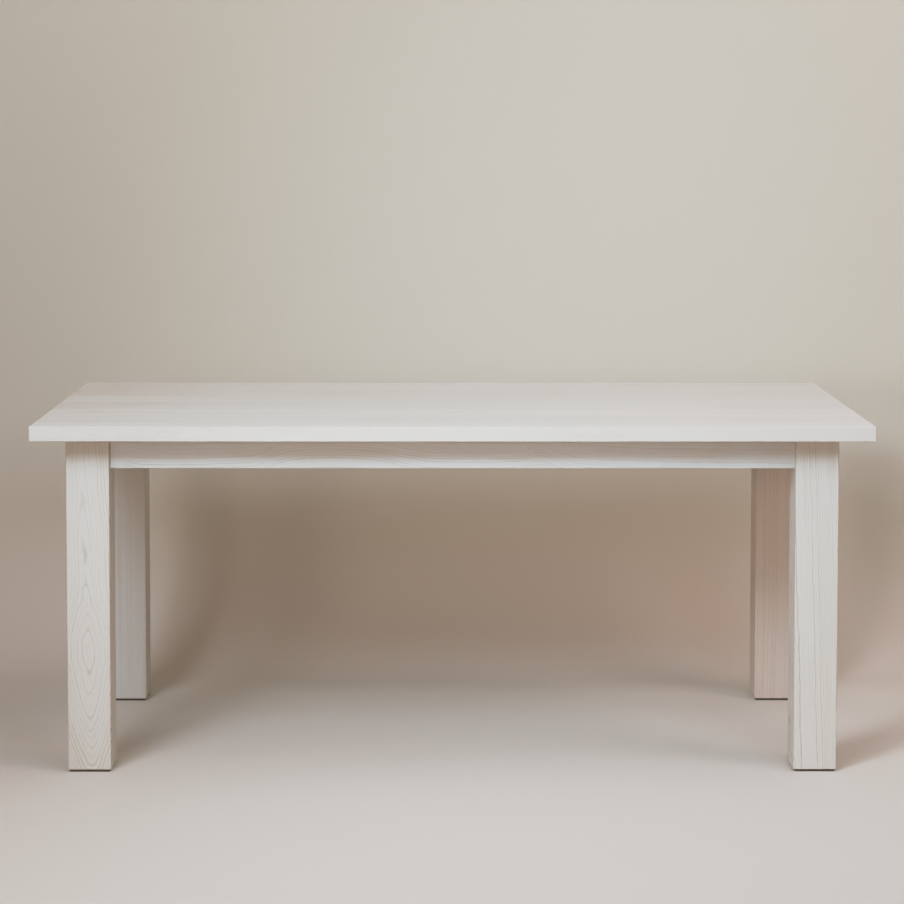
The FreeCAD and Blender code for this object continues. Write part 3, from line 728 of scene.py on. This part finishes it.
def press_pad(corner, signs):
    """One pad, whose rim bulges most half way up."""
    centre = corner_point(signs, LEG_SIDE / 2, LEG_SIDE / 2, 0)
    reach = Vector((PAD_HALF - RIM, PAD_HALF - RIM, 0))
    pad = saw_block(f"felt_pad_{corner}", centre - reach, centre + reach + Vector((0, 0, PAD_TOP)))
    ease(pad, PAD_ROUND, 6, upright)
    open_mesh(pad, "EDGE")
    for share in LAYERS:
        level = PAD_TOP * share
        bpy.ops.mesh.select_all(action="SELECT")
        bpy.ops.mesh.bisect(plane_co=(0, 0, level), plane_no=(0, 0, 1))
        swell = 1 + RIM / PAD_HALF * math.sin(math.pi * share)
        bpy.ops.transform.resize(
            value=(swell, swell, 1), center_override=(centre.x, centre.y, level)
        )
    close_mesh()
    smooth(pad, angle=60)
    return pad


for corner, signs in CORNERS.items():
    pad = fit(press_pad(corner, signs), [f"foot_pad_{corner}"], felt)

# %% [markdown]
# Zinc on the hardware.
# The bolts, nuts, washers, screws and clips are zinc plated steel. Zinc is not mirror bright: it
# has a fine crystal bloom and small scuffs, so its roughness and tone wander.

# %% Mix the zinc
zinc, tree, shader, where = new_material("zinc_plate")
bloom = grainy(tree, where, (420, 420, 420), detail=3.0, rough=0.6)
scuffs = grainy(tree, where, (1800, 1800, 240), detail=2.0)
colour = blend(tree, ramp(tree, bloom, 0.3, 0.7), (0.66, 0.67, 0.69), (0.50, 0.50, 0.51))
rough = sums(tree, "MULTIPLY_ADD", scuffs, 0.3, 0.2)
relief = node(tree, "ShaderNodeBump", {"Height": scuffs, "Strength": 0.15, "Distance": 0.0002})
feed(tree, shader, {"Base Color": colour, "Roughness": rough, "Metallic": 1.0})
feed(tree, shader, {"Normal": relief.outputs[0]})
print("zinc ready")

# %% [markdown]
# Screw threads.
# A thread is one tooth that is turned round an axis and raised at the same time. That is what the
# Screw modifier does with a drawn line. The tooth is as high as the thread's pitch, so each turn
# meets the next, and the seams are merged. A turned blank then trims the thread, as a rod is
# turned to its point and its chamfer before a die cuts it: only what lies in both stays.

# %% Turn blanks and cut threads
def draw_out(piece, level, rise, taper):
    """Extrude the end of a round piece at one level and narrow it."""
    open_mesh(piece, "FACE", lambda face: all(near(vert.co.z, level) for vert in face.verts))
    pull_out((0, 0, rise))
    bpy.ops.transform.resize(value=(taper, taper, 1), center_override=(0, 0, level + rise))
    close_mesh()


# A thread starts some turns below its low end, and has spare turns for both ends
THREAD_LEAD, SPARE_TURNS = 1.37, 3


def wind_thread(name, tooth, pitch, low, high, steps=16):
    """A threaded rod along z between two levels. tooth lists radius and height along one pitch."""
    clear_bench()
    start = (tooth[0][0], 0, low - THREAD_LEAD * pitch)
    bpy.ops.mesh.primitive_plane_add(size=0.001, location=start)
    rod = named(name)
    open_mesh(rod, "VERT")
    bpy.ops.mesh.merge(type="CENTER")
    for (radius, height), (next_radius, next_height) in zip(tooth, tooth[1:]):
        step = (next_radius - radius, 0, next_height - height)
        pull_out(step)
    close_mesh()
    turns = math.ceil((high - low) / pitch) + SPARE_TURNS
    winding = dict(axis="Z", angle=math.tau, steps=steps, render_steps=steps)
    apply_modifier(rod, "SCREW", screw_offset=pitch, iterations=turns, **winding)
    open_mesh(rod, "VERT")
    bpy.ops.mesh.remove_doubles(threshold=1e-6)
    for level in (low, high):
        ends = dict(clear_inner=level == low, clear_outer=level == high, use_fill=True)
        bpy.ops.mesh.select_all(action="SELECT")
        bpy.ops.mesh.bisect(plane_co=(0, 0, level), plane_no=(0, 0, 1), threshold=1e-7, **ends)
    bpy.ops.mesh.select_all(action="SELECT")
    bpy.ops.mesh.normals_make_consistent(inside=False)
    close_mesh()
    return rod


def set_hardware(master, name, sites):
    """Copy a master to every site, each copy with its own mesh, and fit the joined copies."""
    copies = []
    for place, axis, side in sites:
        take(master)
        bpy.ops.object.duplicate(linked=False)
        copy = bpy.context.object
        axis, side = Vector(axis).normalized(), Vector(side).normalized()
        turn = Matrix((side, axis.cross(side), axis)).transposed().to_4x4()
        copy.matrix_world = Matrix.Translation(place) @ turn
        copies.append(copy)
    bpy.data.objects.remove(master)
    clear_bench()
    for copy in copies:
        copy.select_set(True)
    bpy.context.view_layer.objects.active = copies[0]
    bpy.ops.object.join()
    fit(named(f"zinc_{name}"), [name], zinc)


print("thread tools ready")

# %% [markdown]
# Bolts, washers and nuts.
# A hanger bolt has a coarse wood thread on its pointed end, for the leg, and a machine thread on
# the other, for the nut. Two of them stand in the flat of each leg, along the diagonal of the
# corner. The nut is a hexagon trimmed by a chamfered disc, which leaves the curved corners that
# a real nut has. The washer starts as a disc whose two faces are inset and bridged.

# %% Make one bolt, washer and nut
BOLT_LENGTH, BOLT_POINT, BOLT_CHAMFER = 0.0873, 0.007, 0.001
COARSE_PITCH, FINE_PITCH = 0.0029, 0.00125
WASHER_RADIUS, WASHER_WIDTH, WASHER_THICK = 0.010, 0.0055, 0.002
NUT_ACROSS, NUT_HEIGHT, NUT_CHAMFER = 0.013, 0.0065, 0.0006


def make_bolt():
    """A hanger bolt with its point at the origin."""
    shoulder = BOLT_LENGTH - BOLT_CHAMFER
    blank = turn_rod("bolt_blank", (0, 0, BOLT_POINT), (0, 0, shoulder), BOLT_RADIUS)
    draw_out(blank, BOLT_POINT, -BOLT_POINT, 0.15)
    draw_out(blank, shoulder, BOLT_CHAMFER, 0.8)
    coarse = ((0.0028, 0), (0.0028, 0.0011), (0.0043, 0.0019), (0.0043, 0.0021))
    coarse += ((0.0028, COARSE_PITCH),)
    fine = ((0.00335, 0), (0.0041, 0.0005), (0.0041, 0.0007), (0.00335, 0.00115))
    fine += ((0.00335, FINE_PITCH),)
    bolt = wind_thread("bolt_master", coarse, COARSE_PITCH, -0.001, 0.041)
    thread = wind_thread("fine_thread", fine, FINE_PITCH, 0.047, BOLT_LENGTH + 0.001)
    work_with(bolt, thread, "UNION")
    work_with(bolt, turn_rod("bolt_waist", (0, 0, 0.040), (0, 0, 0.048), 0.0037), "UNION")
    work_with(bolt, blank, "INTERSECT")
    smooth(bolt, 30)
    return bolt


def make_washer():
    """A washer that stands on the origin."""
    washer = turn_rod("washer_master", (0, 0, 0), (0, 0, WASHER_THICK), WASHER_RADIUS, 48)
    open_mesh(washer, "FACE", lambda face: abs(face.normal.z) > 0.9)
    bpy.ops.mesh.inset(thickness=WASHER_WIDTH)
    bpy.ops.mesh.bridge_edge_loops()
    close_mesh()

    def rim(a, b):
        inside = WASHER_RADIUS - 0.0005
        return near(a.z, b.z) and a.xy.length > inside and b.xy.length > inside

    ease(washer, 0.0003, 2, rim)
    smooth(washer)
    return washer


def make_nut():
    """A nut that stands on the origin, with its hole countersunk at both ends."""
    nut = turn_rod("nut_master", (0, 0, 0), (0, 0, NUT_HEIGHT), NUT_ACROSS / math.sqrt(3), 6)
    low, high = NUT_CHAMFER, 0.0059
    disc = turn_rod("nut_disc", (0, 0, low), (0, 0, high), 0.00775, 48)
    draw_out(disc, low, -NUT_CHAMFER, 0.81)
    draw_out(disc, high, NUT_CHAMFER, 0.81)
    work_with(nut, disc, "INTERSECT")
    carve(nut, turn_rod("nut_drill", (0, 0, -0.0005), (0, 0, 0.0066), 0.00405, 48))
    for level, rise in ((low, -0.0007), (high, 0.0007)):
        sink = turn_rod("nut_sink", (0, 0, level), (0, 0, level + rise * 0.01), 0.0040, 48)
        draw_out(sink, level + rise * 0.01, rise, 1.16)
        carve(nut, sink)
    smooth(nut, 30)
    return nut


print("bolts, washers and nuts can be made")

# %% Set the bolts, washers and nuts in the corners
def bolt_sites(along):
    """A place on every bolt, at a distance from its point. Each is turned a little differently."""
    sites = []
    for index, (signs, z) in enumerate(itertools.product(CORNERS.values(), BOLT_HEIGHTS)):
        inward = FLAT_IN + (along - BOLT_BITE) * DIAGONAL
        axis = Vector((-signs[0], -signs[1], 0)).normalized()
        side = Matrix.Rotation(0.7 * index, 3, axis) @ Vector((0, 0, 1))
        sites.append((corner_point(signs, inward, inward, z), axis, side))
    return sites


WASHER_AT, NUT_AT = 0.0738, 0.0758
set_hardware(make_bolt(), "hanger_bolts", bolt_sites(0.0))
set_hardware(make_washer(), "bolt_washers", bolt_sites(WASHER_AT))
set_hardware(make_nut(), "bolt_nuts", bolt_sites(NUT_AT))

# %% [markdown]
# Wood screws.
# Pan-head screws hold the corner blocks to the aprons and the clips to the top. Both kinds are the
# same screw at two lengths: a pointed blank with a coarse thread, a head whose rim is rounded
# over, and a cross recess that is carved with two tapered blades.

# %% Make and set the screws
HEAD_RADIUS, HEAD_HEIGHT, HEAD_ROUND, RECESS_DEPTH = 0.004, 0.0026, 0.0013, 0.0015
SHANK_RADIUS, SCREW_POINT, SCREW_PITCH, HEAD_BITE = 0.002, 0.004, 0.0017, 0.0003


def make_screw(length):
    """A pan-head screw with its tip at the origin and its head at the top."""
    top, shank_end = length + HEAD_HEIGHT, length + HEAD_BITE
    blank = turn_rod("screw_blank", (0, 0, SCREW_POINT), (0, 0, shank_end), SHANK_RADIUS, 24)
    draw_out(blank, SCREW_POINT, -SCREW_POINT, 0.1)
    tooth = ((0.0013, 0), (0.0013, 0.0008), (0.0021, 0.0012), (0.0021, 0.0013))
    tooth += ((0.0013, SCREW_PITCH),)
    screw = wind_thread("screw_master", tooth, SCREW_PITCH, -0.001, length * 0.7, steps=12)
    neck = turn_rod("screw_neck", (0, 0, length * 0.68), (0, 0, shank_end), 0.0018, 24)
    work_with(screw, neck, "UNION")
    work_with(screw, blank, "INTERSECT")
    head = turn_rod("screw_head", (0, 0, length), (0, 0, top), HEAD_RADIUS)
    ease(head, HEAD_ROUND, 4, lies_on((Z, top)))
    foot = top - RECESS_DEPTH
    for across in (Vector((0.0023, 0.0005, 0)), Vector((0.0005, 0.0023, 0))):
        low, high = Vector((0, 0, foot)) - across, Vector((0, 0, foot + 0.002)) + across
        blade = saw_block("cross_blade", low, high)
        open_mesh(blade, "FACE", lambda face: face.normal.z < -0.9)
        bpy.ops.transform.resize(value=(0.55, 0.55, 1), center_override=(0, 0, foot))
        close_mesh()
        carve(head, blade)
    work_with(screw, head, "UNION")
    smooth(screw, 30)
    return screw


# How far along and how deep in a rail the tip of a block screw lies
TIP_ALONG, TIP_DEEP = 0.1419, 0.017
block_screw_sites = []
for signs, z in itertools.product(CORNERS.values(), BOLT_HEIGHTS):
    in_long_rail = corner_point(signs, TIP_ALONG, TIP_DEEP, z)
    in_short_rail = corner_point(signs, TIP_DEEP, TIP_ALONG, z)
    block_screw_sites.append((in_long_rail, (0, -signs[1], 0), (1, 0, 0.3)))
    block_screw_sites.append((in_short_rail, (-signs[0], 0, 0), (0, 1, 0.6)))
# Where a clip's tongue enters its rail, and the way it points out of the rail
INNER_X, INNER_Y, CROSS_RAIL_HALF = 0.797, 0.347, 0.015
CLIP_MOUTHS = [
    (Vector((x, side * INNER_Y, 0)), Vector((0, -side, 0)))
    for side, x in itertools.product((-1, 1), (-0.532, -0.192, 0.192, 0.532))
]
CLIP_MOUTHS += [
    (Vector((side * INNER_X, y, 0)), Vector((-side, 0, 0)))
    for side, y in itertools.product((-1, 1), (-0.13872, 0.13872))
]
CLIP_MOUTHS += [
    (Vector((side * CROSS_RAIL_HALF, 0, 0)), Vector((side, 0, 0))) for side in (-1, 1)
]
# How far a top screw stands from the mouth, and the height of its tip
SCREW_OUT, SCREW_TIP = 0.012, 0.744
top_screw_sites = []
for index, (mouth, out_of) in enumerate(CLIP_MOUTHS):
    tip = mouth + SCREW_OUT * out_of + Vector((0, 0, SCREW_TIP))
    side = Matrix.Rotation(0.9 * index, 3, "Z") @ Vector((1, 0, 0))
    top_screw_sites.append((tip, (0, 0, -1), side))
BLOCK_SCREW, TOP_SCREW = 0.030, 0.018
set_hardware(make_screw(BLOCK_SCREW), "block_screws", block_screw_sites)
set_hardware(make_screw(TOP_SCREW), "top_screws", top_screw_sites)

# %% [markdown]
# Clips.
# A clip is a strip of sheet steel with two bends: its tongue slides in the groove of a rail, so
# that the top can swell and shrink, and its flange is screwed to the top. It is made the way it
# is bent: a flat sheet is extruded along its path, the two bends are rounded, and only then does
# it get its thickness.

# %% Bend and set the clips
CLIP_WIDTH, CLIP_SHEET, CLIP_BEND, CLIP_CORNER = 0.018, 0.002, 0.002, 0.003
TONGUE, CLIP_RISE, FLANGE, PUNCH_RADIUS = 0.009, 0.0103, 0.019, 0.0021
TONGUE_IN, CLIP_LOW = 0.007, 0.7157


def bend_clip():
    """A clip with the end of its tongue at the origin and its flange along x."""
    clear_bench()
    low, high = CLIP_SHEET / 2, CLIP_SHEET / 2 + CLIP_RISE
    bpy.ops.mesh.primitive_plane_add(size=1, location=(TONGUE / 2, 0, low))
    bpy.context.object.scale = (TONGUE, CLIP_WIDTH, 1)
    clip = named("clip_master")
    for level, step in ((low, (0, 0, CLIP_RISE)), (high, (FLANGE, 0, 0))):
        open_edges(clip, lies_on((X, TONGUE), (Z, level)))
        pull_out(step)
        close_mesh()
    bends = lies_on((X, TONGUE))
    ease(clip, CLIP_BEND, 5, lambda a, b: bends(a, b) and not upright(a, b))
    ends = (0, TONGUE + FLANGE)
    open_mesh(clip, "VERT", lambda vert: any(near(vert.co.x, end) for end in ends))
    bpy.ops.mesh.bevel(offset=CLIP_CORNER, segments=5, affect="VERTICES")
    close_mesh()
    apply_modifier(clip, "SOLIDIFY", thickness=CLIP_SHEET, offset=0.0, use_even_offset=True)
    hole = TONGUE_IN + SCREW_OUT
    carve(clip, turn_rod("clip_punch", (hole, 0, 0.009), (hole, 0, 0.0135), PUNCH_RADIUS, 24))
    sharp = math.radians(50)
    apply_modifier(
        clip, "BEVEL", width=0.0002, segments=1, limit_method="ANGLE", angle_limit=sharp
    )
    smooth(clip, 40)
    return clip


clip_sites = [
    (mouth - TONGUE_IN * out_of + Vector((0, 0, CLIP_LOW)), (0, 0, 1), out_of)
    for mouth, out_of in CLIP_MOUTHS
]
set_hardware(bend_clip(), "top_clips", clip_sites)

# %% [markdown]
# The studio sweep.
# The table stands on a pale sweep: a floor that curves up into a wall without a corner. It is one
# sheet whose far edge is extruded upward, with the corner between floor and wall rounded over.
# Seen from behind, the sheet is clear, so the back of the table can be looked at too. There a
# second sheet carries the floor on behind the wall.

# %% Roll out the sweep
SWEEP_START, SWEEP_ROUND, SWEEP_TOP = 0.50, 0.38, 5.0
FLOOR_WIDTH, FLOOR_REACH = 16, 9
FLOOR_TONE, WALL_TONE = (0.627, 0.573, 0.529), (0.578, 0.538, 0.472)


def lay_paper(name, low_y, high_y):
    """A flat sheet on the ground between two lines."""
    clear_bench()
    bpy.ops.mesh.primitive_plane_add(size=1, location=(0, (low_y + high_y) / 2, 0))
    bpy.context.object.scale = (FLOOR_WIDTH, high_y - low_y, 1)
    return named(name)


far = SWEEP_START + SWEEP_ROUND
sweep = lay_paper("studio_sweep", -FLOOR_REACH, far)
open_edges(sweep, lies_on((Y, far)))
pull_out((0, 0, SWEEP_TOP))
close_mesh()
ease(sweep, SWEEP_ROUND, 32, lies_on((Y, far), (Z, 0)))
smooth(sweep)
floor_behind = lay_paper("studio_floor_behind", SWEEP_START, FLOOR_REACH)
paper, tree, shader, where = new_material("pale_paper")
height = node(tree, "ShaderNodeSeparateXYZ", {0: where}).outputs[2]
tone = blend(tree, ramp(tree, height, 0.02, 0.35), FLOOR_TONE, WALL_TONE)
feed(tree, shader, {"Base Color": tone, "Roughness": 0.85})
clear = node(tree, "ShaderNodeBsdfTransparent").outputs[0]
behind = node(tree, "ShaderNodeNewGeometry").outputs["Backfacing"]
one_side = node(tree, "ShaderNodeMixShader", {0: behind, 1: shader.outputs[0], 2: clear})
tree.links.new(one_side.outputs[0], tree.nodes["Material Output"].inputs[0])
for sheet in (sweep, floor_behind):
    sheet.data.materials.append(paper)
print("sweep:", len(sweep.data.polygons), "faces, normal", tuple(sweep.data.polygons[0].normal))

# %% [markdown]
# Light.
# The photograph has soft shadow edges under the overhang, which large panels give. The strongest
# panel is cool and hangs at the front left, and a second cool one hangs at the right of the
# camera. A warm panel at the right and one above lift the other sides, and warm room light
# fills the shadows. Two small panels with narrow beams reach under the right half of the top.
# The sweep does not stop the panels, so the floor behind it is lit as well.

# %% Hang the lights
pass_through = bpy.data.collections.new("let_light_through")
pass_through.objects.link(sweep)
pass_through.collection_objects[0].light_linking.link_state = "EXCLUDE"


def hang_panel(name, place, target, width, power, colour, spread):
    """A square soft panel that faces its target and that the camera does not see."""
    light = bpy.data.lights.new(name, "AREA")
    light.size, light.energy, light.color, light.spread = width, power, colour, math.radians(spread)
    panel = bpy.data.objects.new(name, light)
    bpy.context.scene.collection.objects.link(panel)
    panel.location = place
    panel.visible_camera = False
    panel.light_linking.blocker_collection = pass_through
    panel.rotation_euler = (Vector(target) - Vector(place)).to_track_quat("-Z", "Y").to_euler()
    return panel


AIM = Vector((0, 0, 0.5))


def around_table(turn, rise, away):
    """A place round the table: turn is 0 in front and positive to the right, in degrees."""
    turn, rise = math.radians(turn), math.radians(rise)
    flat = math.cos(rise)
    return AIM + away * Vector((math.sin(turn) * flat, -math.cos(turn) * flat, math.sin(rise)))


RIGHT_HALF = (0.5, 0.2, 0.4)
WIDE, NARROW = 180, 50
# Turn, rise and distance, target, width, power, colour and spread of each panel
PANELS = {
    "panel_key": ((-26, 36, 5.0), AIM, 2.0, 103.3, (0.864, 0.930, 0.994), WIDE),
    "panel_front": ((20, 34, 3.6), AIM, 1.9, 29.2, (0.686, 0.891, 1.0), WIDE),
    "panel_right": ((60, 40, 5.0), AIM, 1.7, 38.5, (1.0, 0.812, 0.762), WIDE),
    "panel_top": ((60, 70, 3.2), AIM, 2.0, 26.9, (1.0, 0.933, 0.937), WIDE),
    "panel_left_low": ((-26, 8, 3.6), RIGHT_HALF, 0.7, 2.3, (1.0, 0.86, 0.77), NARROW),
    "panel_left_high": ((-26, 30, 3.6), RIGHT_HALF, 0.7, 3.72, (0.60, 0.829, 1.0), NARROW),
}
for name, (place, *settings) in PANELS.items():
    hang_panel(name, around_table(*place), *settings)
ROOM_TONE = (0.156, 0.101, 0.0635, 1)
world = bpy.data.worlds.new("room_light")
bpy.context.scene.world = world
world.use_nodes = True
room = world.node_tree.nodes["Background"]
feed(world.node_tree, room, {"Color": ROOM_TONE, "Strength": 1.0})
print("lights hung:", len(PANELS))

# %% [markdown]
# The camera.
# The edges of the table in the photograph are almost parallel, so it was taken from far off through
# a long lens, from a little above the top. The lens is shifted down, which keeps the legs upright.

# %% Place the camera
lens = bpy.data.cameras.new("long_lens")
lens.sensor_width, lens.lens, lens.shift_y = 36.0, 100.56, -0.2022
lens.clip_end = 100
camera = bpy.data.objects.new("camera", lens)
bpy.context.scene.collection.objects.link(camera)
camera.location = (-0.03782, -5.77866, 1.41354)
pitch, yaw, roll = 0.0597, 0.0066, 0.0011
flat = math.cos(pitch)
forward = Vector((math.sin(yaw) * flat, math.cos(yaw) * flat, -math.sin(pitch)))
level = Vector((math.cos(yaw), -math.sin(yaw), 0))
right = math.cos(roll) * level + math.sin(roll) * level.cross(forward)
camera.rotation_euler = Matrix((right, right.cross(forward), -forward)).transposed().to_euler()
bpy.context.scene.camera = camera
print("camera at", tuple(camera.location))

# %% [markdown]
# The print.
# A photograph is not a plain record of light: its brightest tones roll off, and this one was
# printed with warm shadows and cool lights. The scene's view settings take the same kind of tone
# curves, one for all colours and one each for green and blue. They act on the whole picture, so
# the colours of the materials stay plain.

# %% Bend the tone curves
GREEN, BLUE, ALL = 1, 2, 3
PRINT_CURVES = {
    GREEN: ((0.0, 0.0), (0.20, 0.189), (0.32, 0.307), (0.42, 0.42))
    + ((0.54, 0.558), (0.66, 0.668), (1.0, 1.0)),
    BLUE: ((0.0, 0.0), (0.16, 0.139), (0.26, 0.236), (0.36, 0.355))
    + ((0.46, 0.482), (0.56, 0.588), (0.68, 0.695), (1.0, 1.0)),
    ALL: ((0.0, 0.0), (0.35, 0.35), (0.62, 0.62), (0.82, 0.715), (1.0, 0.77)),
}
printing = bpy.context.scene.view_settings
printing.view_transform = "Standard"
printing.use_curve_mapping = True
for channel, points in PRINT_CURVES.items():
    draw_curve(printing.curve_mapping.curves[channel], points)
printing.curve_mapping.update()
print("tone curves bent:", len(PRINT_CURVES))
